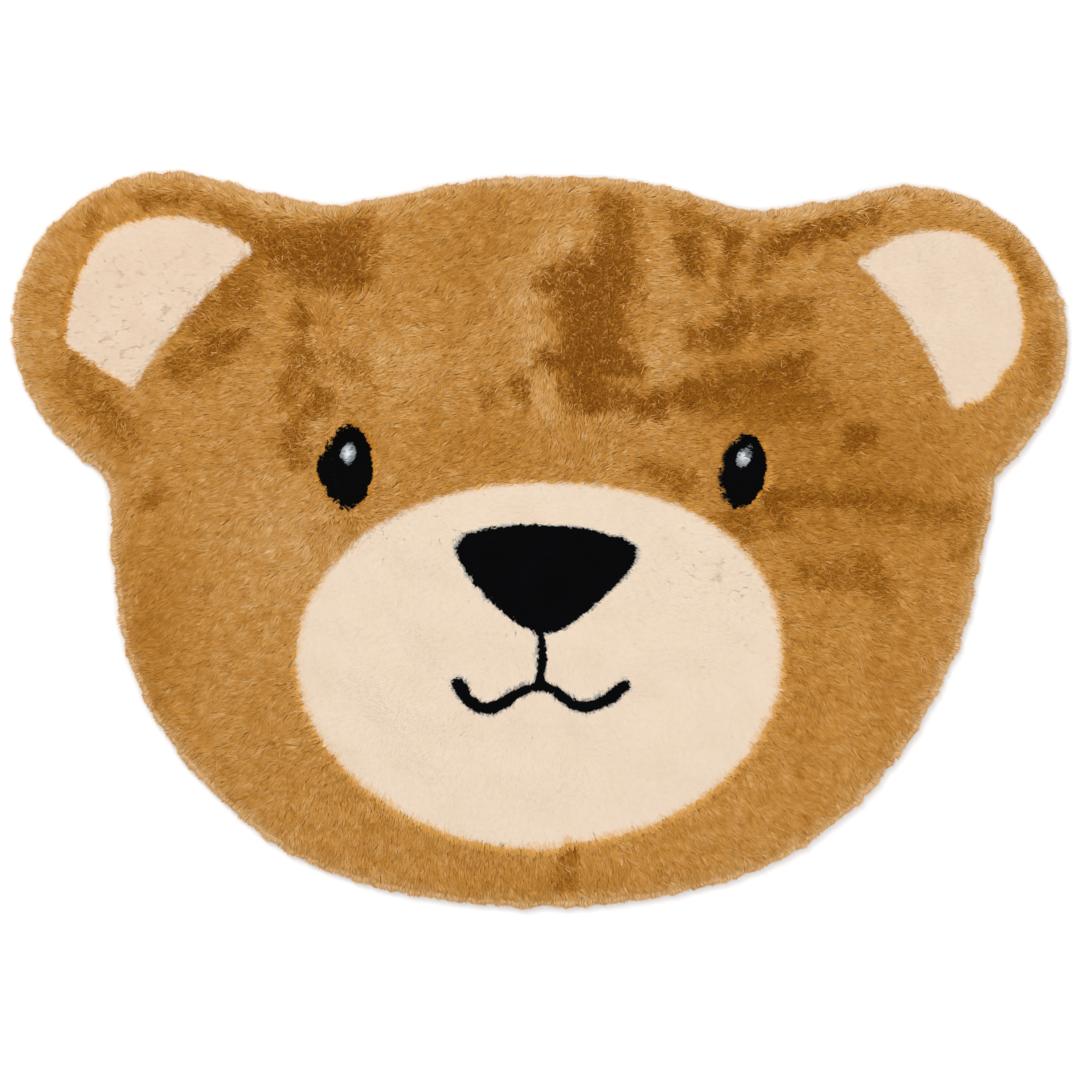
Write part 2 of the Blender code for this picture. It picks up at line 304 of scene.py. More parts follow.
# Broad areas that are lighter or darker than the rest: centre_x, centre_y, radius_x, radius_y, amount.
SHADES = (
    (0.290, 0.060, 0.120, 0.085, -0.20),
    (0.250, -0.150, 0.030, 0.120, -0.08),
    (0.330, -0.130, 0.030, 0.080, -0.08),
    (0.200, 0.130, 0.060, 0.050, -0.12),
    (-0.360, -0.080, 0.035, 0.110, -0.16),
    (-0.110, -0.320, 0.100, 0.022, -0.06),
    (0.070, -0.320, 0.120, 0.022, -0.08),
    (-0.060, 0.280, 0.060, 0.060, -0.10),
    (-0.060, 0.085, 0.060, 0.030, -0.12),
    (0.020, 0.265, 0.030, 0.040, 0.20),
    (-0.020, 0.235, 0.022, 0.040, 0.16),
    (-0.010, 0.175, 0.020, 0.030, 0.14),
    (0.005, 0.128, 0.014, 0.020, 0.20),
    (-0.150, 0.160, 0.050, 0.028, 0.14),
    (-0.230, 0.000, 0.060, 0.080, 0.12),
    (0.110, 0.245, 0.022, 0.018, 0.16),
    (0.105, 0.170, 0.020, 0.022, 0.14),
    (0.095, 0.115, 0.024, 0.012, 0.14),
)
# Where the cream pile is creased into lumps: centre_x, centre_y, radius_x, radius_y, amount.
CREASED = (
    (-0.370, 0.200, 0.075, 0.075, 1.00),
    (0.150, -0.020, 0.055, 0.040, 0.75),
    (0.200, -0.075, 0.030, 0.040, 0.55),
)
# How far the creases run past the cream's border.
CREASE_PAST = 0.002

# The printed face. Ellipses: centre_x, centre_y, radius_x, radius_y, and how far the top leans to the right.
EYES = (
    (-0.1818, 0.0690, 0.0241, 0.0405, 0.00),
    (-0.2000, 0.0680, 0.0112, 0.0185, 0.00),
    (0.1912, 0.0645, 0.0226, 0.0355, 0.11),
)
GLINTS = (
    (-0.1808, 0.0818, 0.0076, 0.0104, 0.12),
    (0.1930, 0.0787, 0.0070, 0.0104, 0.30),
)
# centre_x, centre_y, radius_x, radius_up, radius_down, power_up_left, power_up_right, power_down
MUZZLE = (-0.0004, -0.1130, 0.2297, 0.1675, 0.1787, 2.05, 2.30, 1.93)
MUZZLE_BLEND = 0.06
# x and y of the small step in its lower edge, its depth and how far it fades to the right.
MUZZLE_STEP = (0.020, -0.200, 0.0045, 0.050)
MUZZLE_STEP_BAND = (-0.002, 0.003)
# Quadratic curves: start, bend, end, half_width_at_start, half_width_at_end.
MOUTH_LINES = (
    ((0.0000, -0.0860), (0.0035, -0.1120), (-0.0005, -0.1385), 0.0038, 0.0048),
    ((0.0000, -0.1390), (-0.0140, -0.1390), (-0.0300, -0.1510), 0.0034, 0.0052),
    ((-0.0300, -0.1510), (-0.0600, -0.1740), (-0.0780, -0.1350), 0.0052, 0.0060),
    ((0.0000, -0.1390), (0.0120, -0.1385), (0.0265, -0.1525), 0.0034, 0.0052),
    ((0.0265, -0.1525), (0.0480, -0.1680), (0.0800, -0.1377), 0.0052, 0.0057),
)
MOUTH_STEPS = 9
# Shapes bounded by arcs: a middle, how soft the corners are, and for each side the direction in which it
# lies, its distance from the middle and its curvature.
NOSE = ((0.0035, -0.0370), 0.0160, ((88, 0.0512, 2.7), (231, 0.0496, 3.4), (-47, 0.0518, 0.0)))
LEFT_EAR_SIDES = ((86, 0.0957, 8.7), (162, 0.0942, 5.0), (-39.5, 0.0110, -1.6), (-122, 0.0768, 1.2))
RIGHT_EAR_SIDES = (
    (99, 0.0832, 8.5), (18, 0.0840, 10.2), (-39, 0.0850, -4.9), (212.6, 0.0224, -3.0), (-74, 0.0870, 2.3)
)
EARS = (
    ((-0.3490, 0.2100), 0.0015, LEFT_EAR_SIDES),
    ((0.3716, 0.2095), 0.0015, RIGHT_EAR_SIDES),
)
# Farther away than this, an arc counts no more.
ARC_LIMIT = 0.1


# Fields read from the solid

def smoothstep(value, low, high):
    share = np.clip((value - low) / (high - low), 0, 1)
    return share * share * (3 - 2 * share)


def lip_points(mesh):
    """Close points along the solid's widest ring."""
    places = np.empty(len(mesh.vertices) * 3)
    mesh.vertices.foreach_get("co", places)
    places = places.reshape(-1, 3)
    at_lip = (places[:, 2] > LIP_LOW) & (places[:, 2] < LIP_HIGH)
    ends = np.empty(len(mesh.edges) * 2, int)
    mesh.edges.foreach_get("vertices", ends)
    ends = ends.reshape(-1, 2)
    ends = ends[at_lip[ends].all(axis=1)]
    steps = np.linspace(0, 1, LIP_STEPS)[None, :, None]
    start, end = places[ends[:, 0]][:, None], places[ends[:, 1]][:, None]
    return (start + (end - start) * steps).reshape(-1, 3)[:, :2]


def evened(values, passes):
    """Values on a grid, each evened out with its neighbours so many times."""
    for _ in range(passes):
        wide = np.pad(values, 1, mode="edge")
        values = (wide[:-2, 1:-1] + wide[2:, 1:-1] + wide[1:-1, :-2] + wide[1:-1, 2:] + 4 * values) / 8
    return values


def tree_of(points):
    """A search tree of points that lie on the floor."""
    tree = kdtree.KDTree(len(points))
    for index, (x, y) in enumerate(points):
        tree.insert((x, y, 0.0), index)
    tree.balance()
    return tree


class RugField:
    """The solid's top height and the distance inside its rim, on an even grid of places."""

    def __init__(self, node):
        mesh = node.data
        low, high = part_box(PLUSH_NODE)
        self.low = np.array(low[:2]) - FIELD_MARGIN
        span = np.array(high[:2]) + FIELD_MARGIN - self.low
        self.shape = np.ceil(span / FIELD_PITCH).astype(int) + 1
        solid = BVHTree.FromPolygons(
            [vertex.co for vertex in mesh.vertices], [tuple(face.vertices) for face in mesh.polygons]
        )
        lip = tree_of(lip_points(mesh))
        self.height = np.full(self.shape, (LIP_LOW + LIP_HIGH) / 2)
        self.edge = np.empty(self.shape)
        down = Vector((0, 0, -1))
        for i in range(self.shape[0]):
            for j in range(self.shape[1]):
                x, y = self.low + np.array((i, j)) * FIELD_PITCH
                hit = solid.ray_cast(Vector((x, y, RAY_START)), down)[0]
                distance = lip.find((x, y, 0.0))[2]
                self.edge[i, j] = distance if hit else -distance
                if hit:
                    self.height[i, j] = hit.z
        self.edge = evened(self.edge, EDGE_PASSES)
        self.out_x, self.out_y = (-part for part in np.gradient(self.edge, FIELD_PITCH))

    def read(self, values, x, y):
        at_x = np.clip((x - self.low[0]) / FIELD_PITCH, 0, self.shape[0] - 2)
        at_y = np.clip((y - self.low[1]) / FIELD_PITCH, 0, self.shape[1] - 2)
        i, j = at_x.astype(int), at_y.astype(int)
        right, up = at_x - i, at_y - j
        lower = values[i, j] * (1 - right) + values[i + 1, j] * right
        upper = values[i, j + 1] * (1 - right) + values[i + 1, j + 1] * right
        return lower * (1 - up) + upper * up

    def outward(self, x, y):
        across, along = self.read(self.out_x, x, y), self.read(self.out_y, x, y)
        length = np.maximum(np.hypot(across, along), TINY)
        return across / length, along / length

    def surface(self, x, y, edge, band):
        """The pile's height there, and how far it goes by the solid and not by the rim's profile."""
        inner = smoothstep(edge, *band)
        profile = np.interp(edge, RIM_EDGES, RIM_HEIGHTS)
        return self.read(self.height, x, y) * inner + profile * (1 - inner), inner


def ripple(x, y, wavelength, seed):
    """Smooth unevenness from about -1 to 1, the same each time."""
    draw = np.random.default_rng(seed)
    total = np.zeros_like(x)
    for _ in range(RIPPLE_WAVES):
        angle = draw.uniform(0, math.tau)
        length = wavelength * draw.uniform(*RIPPLE_LENGTHS)
        phase = draw.uniform(0, math.tau)
        total += np.sin((x * math.cos(angle) + y * math.sin(angle)) * math.tau / length + phase)
    return total / math.sqrt(RIPPLE_WAVES) / RIPPLE_CALM


def rippled(x, y, waves):
    """Ripples of several heights and wavelengths, added up."""
    return sum(height * ripple(x, y, wavelength, seed) for height, wavelength, seed in waves)


def wavered(x, y, wavers):
    """The places moved a little, smoothly but unevenly, so that an edge found there wavers."""
    for reach, wavelength, seed in wavers:
        aside = reach * ripple(x, y, wavelength, seed), reach * ripple(x, y, wavelength, seed + 1)
        x, y = x + aside[0], y + aside[1]
    return x, y


def tuft_at(x, y, pitch, seed):
    """The way to the nearest tuft's middle, how much farther the next one is, and the tuft's own number."""
    table = np.random.default_rng(seed).uniform(0, 1, (TUFT_TABLE, TUFT_TABLE, 3))
    column, row = np.floor(x / pitch).astype(int), np.floor(y / pitch).astype(int)
    nearest, second = np.full(x.shape, np.inf), np.full(x.shape, np.inf)
    way_x, way_y, own = np.zeros_like(x), np.zeros_like(x), np.zeros_like(x)
    for i in (-1, 0, 1):
        for j in (-1, 0, 1):
            drawn = table[(column + i) % TUFT_TABLE, (row + j) % TUFT_TABLE]
            to_x = (column + i + drawn[:, 0]) * pitch - x
            to_y = (row + j + drawn[:, 1]) * pitch - y
            distance = np.hypot(to_x, to_y)
            closer = distance < nearest
            second = np.where(closer, nearest, np.minimum(second, distance))
            way_x, way_y = np.where(closer, to_x, way_x), np.where(closer, to_y, way_y)
            own = np.where(closer, drawn[:, 2], own)
            nearest = np.minimum(nearest, distance)
    return way_x, way_y, second - nearest, own


def areas(x, y, table, power):
    """The amounts of soft-edged elliptical areas, added up. A higher power gives a sharper edge."""
    total = np.zeros_like(x)
    for centre_x, centre_y, radius_x, radius_y, amount in table:
        across, along = (x - centre_x) / radius_x, (y - centre_y) / radius_y
        total += amount * np.exp(-(across**power) - along**power)
    return total


# The printed face: each shape as a depth, positive inside it and negative outside, in metres

def ellipse_depth(x, y, centre_x, centre_y, radius_x, radius_y, lean):
    across, along = (x - centre_x - lean * (y - centre_y)) / radius_x, (y - centre_y) / radius_y
    share = np.hypot(across, along)
    return (1 - share) * min(radius_x, radius_y)


def muzzle_depth(x, y):
    centre_x, centre_y, radius_x, radius_up, radius_down, power_up_left, power_up_right, power_down = MUZZLE
    upper = y > centre_y
    across = np.abs(x - centre_x) / radius_x
    along = np.abs(y - centre_y) / np.where(upper, radius_up, radius_down)
    # The power runs over from one side to the other, so that the outline stays smooth.
    to_right = smoothstep(x - centre_x, -MUZZLE_BLEND, MUZZLE_BLEND)
    power_up = power_up_left + (power_up_right - power_up_left) * to_right
    power = np.where(upper, power_up, power_down)
    share = (across**power + along**power) ** (1 / power)
    # Right of the middle the lower edge steps up a little, as the ground cloth was shifted in the print.
    step_x, step_y, depth, fade = MUZZLE_STEP
    past = x - step_x
    step = depth * smoothstep(past, *MUZZLE_STEP_BAND) * np.exp(-np.maximum(past, 0) / fade) * (y < step_y)
    return (1 - share) * min(radius_x, radius_up) - step


def line_distance(x, y, start, end):
    (x0, y0), (x1, y1) = start, end
    along = ((x - x0) * (x1 - x0) + (y - y0) * (y1 - y0)) / ((x1 - x0) ** 2 + (y1 - y0) ** 2)
    along = np.clip(along, 0, 1)
    return np.hypot(x - x0 - along * (x1 - x0), y - y0 - along * (y1 - y0))


def mouth_depth(x, y):
    depth = np.full(x.shape, -np.inf)
    for start, bend, end, half_start, half_end in MOUTH_LINES:
        steps = np.linspace(0, 1, MOUTH_STEPS)[:, None]
        curve = (1 - steps) ** 2 * start + 2 * steps * (1 - steps) * bend + steps**2 * end
        widths = half_start + (half_end - half_start) * steps.ravel()
        for first, second, half in zip(curve, curve[1:], widths[1:]):
            depth = np.maximum(depth, half - line_distance(x, y, first, second))
    return depth


def arc_shape_depth(x, y, middle, softness, sides):
    soft = np.zeros_like(x)
    for lies_deg, distance, curvature in sides:
        turn = math.radians(lies_deg)
        out = (x - middle[0]) * math.cos(turn) + (y - middle[1]) * math.sin(turn) - distance
        beside = (y - middle[1]) * math.cos(turn) - (x - middle[0]) * math.sin(turn)
        gap = -(out + curvature * (out**2 + beside**2) / 2)
        soft += np.exp(-np.clip(gap, -ARC_LIMIT, ARC_LIMIT) / softness)
    return -softness * np.log(soft)


def black_depth(x, y):
    depth = np.maximum(arc_shape_depth(x, y, *NOSE), mouth_depth(x, y))
    for eye in EYES:
        depth = np.maximum(depth, ellipse_depth(x, y, *eye))
    return depth


def cream_depth(x, y):
    depth = muzzle_depth(x, y)
    for ear in EARS:
        depth = np.maximum(depth, arc_shape_depth(x, y, *ear))
    return depth


def glint_depth(x, y):
    return np.maximum(*[ellipse_depth(x, y, *glint) for glint in GLINTS])


BROWN, CREAM, BLACK, GLINT = range(4)


def print_depths(x, y):
    """How deep each place is in the cream, the black and the glints, with the print's uneven borders."""
    x, y = wavered(x, y, PRINT_WAVERS)
    return cream_depth(x, y), black_depth(x, y), glint_depth(x, y)


def region_at(depths, draw):
    """Which colour each strand has. The print took unevenly at its borders, so they are blurred."""
    cream, black, glint = depths
    blur = BORDER_BLUR * np.clip(draw.normal(0, 1, len(cream)), -BLUR_LIMIT, BLUR_LIMIT)
    fuzz = draw.uniform(*GLINT_FUZZ_SPREAD, len(cream)) * GLINT_FUZZ
    region = np.where(cream > blur, CREAM, BROWN)
    region[black > BLACK_BLUR_SHARE * blur] = BLACK
    region[glint > fuzz] = GLINT
    return region


def own_depth(depths, region):
    """How deep each place is in the strand's own colour."""
    cream, black, glint = depths
    choices = (-np.maximum(cream, black), np.minimum(cream, -black), np.minimum(black, -glint), glint)
    return np.choose(region, choices)


def crease_at(x, y):
    """How much the cream pile is creased, from 0 to 1."""
    return areas(x, y, CREASED, power=4) * (cream_depth(x, y) > -CREASE_PAST)


def shape_share(x, y, band):
    """From 0 to 1 across this band at the borders of the cream and black shapes."""
    return smoothstep(np.maximum(cream_depth(x, y), black_depth(x, y)), *band)


def ear_share(x, y):
    """How far a place belongs to the ears' cream, more in the left ear than in the right one."""
    return smoothstep(y, *EAR_FOOT) * np.where(x < 0, 1.0, RIGHT_EAR_SHARE)


# The way the pile lies

def nap_at(x, y):
    """The direction in which the tips point, and how far the pile lies down: 0 upright, 1 laid flat."""
    lean_x, lean_y, weight = np.zeros_like(x), np.zeros_like(x), np.zeros_like(x)
    for at_x, at_y, direction_deg in NAP:
        near = np.exp(-((x - at_x) ** 2 + (y - at_y) ** 2) / NAP_REACH**2)
        lean_x += near * math.cos(math.radians(direction_deg))
        lean_y += near * math.sin(math.radians(direction_deg))
        weight += near
    lean = np.hypot(lean_x, lean_y) / weight
    return np.arctan2(lean_y, lean_x), np.sqrt(np.clip(lean, 0, 1))


def ruffle_at(x, y):
    """How ruffled the pile is, from 0 to 1, with uneven edges."""
    x, y = wavered(x, y, RUFFLE_WAVERS)
    total = np.zeros_like(x)
    for start_x, start_y, end_x, end_y, half_width, strength in RUFFLES:
        away = line_distance(x, y, (start_x, start_y), (end_x, end_y)) / half_width
        share = strength * (1 - smoothstep(away, *RUFFLE_EDGE))
        total = 1 - (1 - total) * (1 - share)
    return total


def pile_value(rule, pile):
    """A value that goes by how ruffled and how smooth the pile is."""
    plain, by_ruffle, by_smooth = rule
    return plain + by_ruffle * pile["ruffle"] + by_smooth * pile["smooth"]


# Clumps

def hex_places(pitch, low, high, draw, jitter):
    rows = np.arange(low[1], high[1], pitch * math.sqrt(3) / 2)
    columns = np.arange(low[0], high[0], pitch)
    x, y = np.meshgrid(columns, rows)
    x = x + (np.arange(len(rows)) % 2)[:, None] * pitch / 2
    x, y = x.ravel(), y.ravel()
    x = x + draw.uniform(-1, 1, len(x)) * pitch * jitter
    y = y + draw.uniform(-1, 1, len(y)) * pitch * jitter
    return x, y


def clump_ruffle(x, y, edge, patchy, fine):
    """How ruffled the clumps are: hardly in the cream, and not at all at the rim."""
    ruffle = ruffle_at(x, y) * (1 + FINE_RUFFLE * fine) + PATCHY_RUFFLE * np.maximum(patchy, 0)
    in_cream = smoothstep(cream_depth(x, y), *SMOOTH_BORDER)
    return np.clip(ruffle, 0, 1) * (1 - CREAM_RUFFLE_LOSS * in_cream) * smoothstep(edge, *RUFFLE_RIM)


def clump_lie(field, clump, edge, fine, draw):
    """The way in which each clump points, and how far it leans over. Near the rim the pile fans outward."""
    x, y, ruffle, smooth = clump["x"], clump["y"], clump["ruffle"], clump["smooth"]
    direction, lean = nap_at(x, y)
    direction = direction + rippled(x, y, NAP_WAVES) * (1 - SMOOTH_NAP * smooth)
    direction = direction + draw.normal(0, 1, len(x)) * pile_value(CLUMP_TURN, clump)
    lean = lean * (1 - RUFFLED_RISE * ruffle) * (1 + FINE_LEAN * fine) * (1 - SMOOTH_RISE * smooth)
    lean = np.clip(lean + draw.normal(0, LEAN_SPREAD, len(x)), *LEANS)
    out_x, out_y = field.outward(x, y)
    fan = FAN * (1 - smoothstep(edge, *FAN_BAND))
    way_x = np.cos(direction) * lean + out_x * fan
    way_y = np.sin(direction) * lean + out_y * fan
    length = np.hypot(way_x, way_y)
    return way_x / length, way_y / length, np.clip(length, *LEANS)


def clump_tone(clump, edge, patchy, fine, draw):
    x, y, ruffle, smooth = clump["x"], clump["y"], clump["ruffle"], clump["smooth"]
    mottled = MOTTLING * patchy + MOTTLING * fine + areas(x, y, SHADES, power=2)
    # Painted shade darkens ruffled pile, and painted light lightens a band along the rim.
    tone = PILE_TONE + mottled * (1 - smooth) - RUFFLE_SHADE * ruffle
    tone = tone + RIM_PAINTED_LIGHT * (1 - smoothstep(edge, *RIM_PAINTED_LIGHT_BAND))
    tone = tone + (MOTTLING * patchy - EAR_DARK * ear_share(x, y)) * smooth
    return tone + draw.normal(0, CLUMP_TONE_SPREAD, len(x)) * (1 - SMOOTH_TONE_LOSS * smooth)


def clumps(field, draw):
    """Where the pile's clumps stand, how they lie, and how ruffled, smooth, creased and light they are."""
    high = field.low + (field.shape - 1) * FIELD_PITCH
    x, y = hex_places(CLUMP_PITCH, field.low, high, draw, CLUMP_JITTER)
    edge = field.read(field.edge, x, y)
    kept = edge > ROOT_INSET
    x, y, edge = x[kept], y[kept], edge[kept]
    patchy, fine = ripple(x, y, *PATCHES), ripple(x, y, *FLECKS)
    clump = {"x": x, "y": y, "smooth": shape_share(x, y, SMOOTH_BORDER), "crease": crease_at(x, y)}
    clump["ruffle"] = clump_ruffle(x, y, edge, patchy, fine)
    clump["way_x"], clump["way_y"], clump["lean"] = clump_lie(field, clump, edge, fine, draw)
    clump["tone"] = clump_tone(clump, edge, patchy, fine, draw)
    return clump


# Strands

def in_disc(draw, count, radius):
    angle = draw.uniform(0, math.tau, count)
    reach = radius * np.sqrt(draw.uniform(0, 1, count))
    return reach * np.cos(angle), reach * np.sin(angle)


def laid_strands(each, draw):
    """Where the strands of the clumps have their roots and their tips, as seen from above."""
    total = len(each["x"])
    off_x, off_y = in_disc(draw, total, CLUMP_PITCH * CLUMP_SPAN)
    stray_x, stray_y = in_disc(draw, total, TIP_STRAY)
    turn = draw.normal(0, 1, total) * pile_value(STRAND_TURN, each)
    way_x = each["way_x"] * np.cos(turn) - each["way_y"] * np.sin(turn)
    way_y = each["way_y"] * np.cos(turn) + each["way_x"] * np.sin(turn)
    lean = np.clip(each["lean"] + draw.normal(0, STRAND_LEAN_SPREAD, total), *STRAND_LEANS)
    reach = (UPRIGHT_REACH + LEANING_REACH * lean) * draw.uniform(*REACH_SPREAD, total)
    reach = reach * (1 - CREASE_SHORTENING * each["crease"])
    gather = pile_value(GATHERING, each)
    tip_x = each["x"] + off_x * gather + stray_x + way_x * reach
    tip_y = each["y"] + off_y * gather + stray_y + way_y * reach
    return each["x"] + off_x, each["y"] + off_y, tip_x, tip_y


def tufted(tip_x, tip_y, each):
    """The tips gathered into tufts where ruffled, how far they part, and their tone: painted light and
    shade.
    """
    to_x, to_y, gap, own = tuft_at(tip_x, tip_y, TUFT_PITCH, TUFT_SEED)
    pull = TUFT_PULL * each["ruffle"]
    parted = 1 - smoothstep(gap, *TUFT_PARTING)
    tone = TUFT_PAINTED_LIGHT - PARTING_SHADE * parted + TUFT_TONE_SPREAD * (own - 0.5)
    return tip_x + to_x * pull, tip_y + to_y * pull, each["ruffle"] * parted, each["ruffle"] * tone


def crease_line(root_x, root_y, tip_x, tip_y, each):
    """How far a strand lies on one of the broken lines along which creased cream pile parts."""
    x, y = root_x + (tip_x - root_x) * SEEN_SHARE, root_y + (tip_y - root_y) * SEEN_SHARE
    line = 1 - smoothstep(tuft_at(x, y, LUMP_PITCH, LUMP_SEED)[2], 0.0, CREASE_WIDTH)
    return line * each["crease"] * smoothstep(ripple(x, y, *CREASE_BREAKS), *CREASE_BREAK)


def drawn_in(field, tip_x, tip_y, draw):
    """The tips, with each one that would stand out past the rim drawn back to it."""
    limit = -RIM_REACH + rippled(tip_x, tip_y, RIM_WAVES)
    spread = np.abs(draw.normal(0, RIM_SPREAD, len(tip_x)))
    over = np.maximum(limit - field.read(field.edge, tip_x, tip_y) + spread, 0)
    out_x, out_y = field.outward(tip_x, tip_y)
    return tip_x - out_x * over, tip_y - out_y * over


def root_height(field, x, y, each):
    """The roots' heights, and how far each root stands inside the rug."""
    edge = np.maximum(field.read(field.edge, x, y), 0)
    base, inner = field.surface(x, y, edge, ROOT_BLEND)
    underfur = UNDERFUR_SHARE + CALM_UNDERFUR * each["smooth"]
    return base * underfur - ROOT_SINK + SMOOTH_ROOT_RISE * each["smooth"], inner


def tip_height(field, x, y, each, parting, inner, draw):
    surface, _ = field.surface(x, y, field.read(field.edge, x, y), TIP_BLEND)
    depth = pile_value(TIP_DEPTH, each) * draw.uniform(0, 1, len(x))
    lift = TIP_RISE - depth - PARTING_DEPTH * parting
    return np.maximum(surface + lift * (RIM_LIFT + (1 - RIM_LIFT) * inner), LEAST_TIP_HEIGHT)


def grow_pile(field, draw):
    """The pile's strands: each a root, a middle and a tip, with its width, tone and printed colour."""
    each = {key: np.repeat(values, STRANDS_A_CLUMP) for key, values in clumps(field, draw).items()}
    total = len(each["x"])
    root_x, root_y, tip_x, tip_y = laid_strands(each, draw)
    tip_x, tip_y, parting, tuft_tone = tufted(tip_x, tip_y, each)
    line = crease_line(root_x, root_y, tip_x, tip_y, each)
    tip_x, tip_y = drawn_in(field, tip_x, tip_y, draw)
    root_z, inner = root_height(field, root_x, root_y, each)
    tip_z = tip_height(field, tip_x, tip_y, each, parting + line, inner, draw)
    own = np.clip(draw.normal(0, 1, total), *OWN_TONE_LIMITS)
    own = own * pile_value(OWN_TONE, each) * (1 - OWN_TONE_LOSS * each["smooth"])
    width = STRAND_WIDTH * draw.uniform(*WIDTH_SPREAD, total) * (1 + SMOOTH_WIDENING * each["smooth"])
    return kept_to_print({
        "root": np.column_stack([root_x, root_y, root_z]),
        "tip": np.column_stack([tip_x, tip_y, tip_z]),
        "width": width,
        # Painted light on tufts, and painted shade at tuft partings and on crease lines.
        "tone": each["tone"] + tuft_tone - CREASE_SHADE * line + own,
        # Painted shade toward the roots, deeper where the pile is ruffled.
        "dark": np.clip(pile_value(ROOT_SHADE, each), 0, 1),
        "calm": each["smooth"],
    }, draw)


def grow_rim(field, lip, draw):
    """Strands that stand out of the rim's side, from the surface that the rug lies on up to its shoulder."""
    place = lip[draw.integers(0, len(lip), RIM_STRANDS)]
    off_x, off_y = in_disc(draw, RIM_STRANDS, RIM_SCATTER)
    x, y = place[:, 0] + off_x, place[:, 1] + off_y
    out_x, out_y = field.outward(x, y)
    edge = field.read(field.edge, x, y)
    x, y = x + out_x * edge, y + out_y * edge
    level = draw.uniform(0, 1, RIM_STRANDS)
    depth = RIM_ROOT_DEPTH * draw.uniform(*RIM_ROOT_SPREAD, RIM_STRANDS)
    skew = draw.normal(0, RIM_SKEW, RIM_STRANDS)
    out = RIM_REACH - RIM_BULGE * (2 * level - RIM_BULGE_MIDDLE) ** 2
    out = out + draw.normal(0, RIM_OUT_SPREAD, RIM_STRANDS) - rippled(x, y, RIM_WAVES)
    tip_z = RIM_TIP_LOW + level**RIM_TIP_POWER * RIM_TIP_RISE + draw.normal(0, RIM_TIP_SPREAD, RIM_STRANDS)
    root = x - out_x * depth, y - out_y * depth, RIM_ROOT_LOW + level * RIM_ROOT_RISE
    tip = x + out_x * out - out_y * skew, y + out_y * out + out_x * skew, np.clip(tip_z, *RIM_TIP_LIMITS)
    return kept_to_print({
        "root": np.column_stack(root),
        "tip": np.column_stack(tip),
        "width": STRAND_WIDTH * draw.uniform(*RIM_WIDTH_SPREAD, RIM_STRANDS),
        # Painted light on the rim's strands, growing toward the shoulder, and painted shade at their roots.
        "tone": RIM_LIT_TONE + RIM_LIT_RISE * level + draw.normal(0, RIM_TONE_SPREAD, RIM_STRANDS),
        "dark": np.full(RIM_STRANDS, RIM_ROOT_SHADE),
        "calm": np.full(RIM_STRANDS, RIM_CALM),
    }, draw)


# The print on the strands

def printed_tone(tone, region, depths, draw):
    """Each strand's tone within its own colour, with the dye that it took from a colour beside it."""
    cream, black, glint = depths
    count = len(tone)
    in_brown, in_cream = region == BROWN, region == CREAM
    tone = np.where(in_cream, np.clip(tone, *CREAM_TONES), tone)
    tone = np.where(in_cream & (cream < BORDER_CREAM_BAND), np.maximum(tone, BORDER_CREAM_TONE), tone)
    halo = in_cream & (black > -draw.uniform(*HALO_SPREAD, count) * HALO_WIDTH)
    tone = np.where(halo, -HALO_RISE * np.minimum(black, 0), tone)
    tone = np.where(region == GLINT, GLINT_TONE + glint * GLINT_RISE, tone)
    width = BORDER_DYE * draw.uniform(*DYE_SPREAD, count)
    dyed = np.clip(CREAM_DYED - cream / width, 0, 1) * (in_cream & ~halo)
    tone = np.where(dyed > 0, DYED_CREAM_TONE + (1 - DYED_CREAM_TONE) * dyed, tone)
    dyed = np.clip(BROWN_DYED + BROWN_DYE_FALL * cream / width, 0, 1) * in_brown
    tone = tone + (1 - tone) * dyed
    dyed = np.clip(1 + black / (BLACK_DYE * draw.uniform(*DYE_SPREAD, count)), 0, 1) * in_brown
    return tone - BLACK_DYED * dyed


def shortened(root, tip, region, seen, depths, draw):
    """The strands' ends, drawn in where they would lie far over a border of the print."""
    black = depths[1]
    at_seen = own_depth(depths, region)
    eager = np.where(black > -BLACK_REACH_BAND, BLACK_REACH_SHARE, 1.0)
    eager = np.where(region == GLINT, GLINT_REACH_SHARE, eager)
    reach = draw.exponential(BORDER_REACH, len(seen)) * eager
    short = np.interp(np.abs(black), SHORT_BAND, SHORT_SHARES)
    ends = []
    for end, over in ((root, ROOT_REACH_SHARE * reach), (tip, reach)):
        at_end = own_depth(print_depths(end[:, 0], end[:, 1]), region)
        share = np.clip((at_seen + over) / np.maximum(at_seen - at_end, TINY), LEAST_LENGTH_SHARE, 1)
        share = (np.where(at_end < -over, share, 1) * short)[:, None]
        ends.append(np.column_stack([seen[:, :2] + (end[:, :2] - seen[:, :2]) * share, end[:, 2]]))
    # A shortened strand keeps its slope, with its tip at the pile's surface.
    full, left = (np.hypot(*(end - start)[:, :2].T) for start, end in ((root, tip), ends))
    root, tip = ends
    root[:, 2] = tip[:, 2] - (tip[:, 2] - root[:, 2]) * left / np.maximum(full, TINY)
    return root, tip


def kept_to_print(strands, draw):
    """The strands with their printed colours, shortened at the print's borders, and with their middles."""
    root, tip = strands["root"], strands["tip"]
    seen = root + (tip - root) * SEEN_SHARE
    depths = print_depths(seen[:, 0], seen[:, 1])
    region = region_at(depths, draw)
    tone = printed_tone(strands["tone"], region, depths, draw)
    root, tip = shortened(root, tip, region, seen, depths, draw)
    middle = root + (tip - root) * np.array([MIDDLE_SHARE, MIDDLE_SHARE, MIDDLE_RISE])
    calm = strands["calm"] * np.where(region == BROWN, BROWN_CALM, 1.0)
    strands |= {"root": root, "middle": middle, "tip": tip, "tone": tone, "region": region, "calm": calm}
    return strands


# Strand meshes

def unit(vectors):
    return vectors / np.maximum(np.linalg.norm(vectors, axis=1), TINY)[:, None]


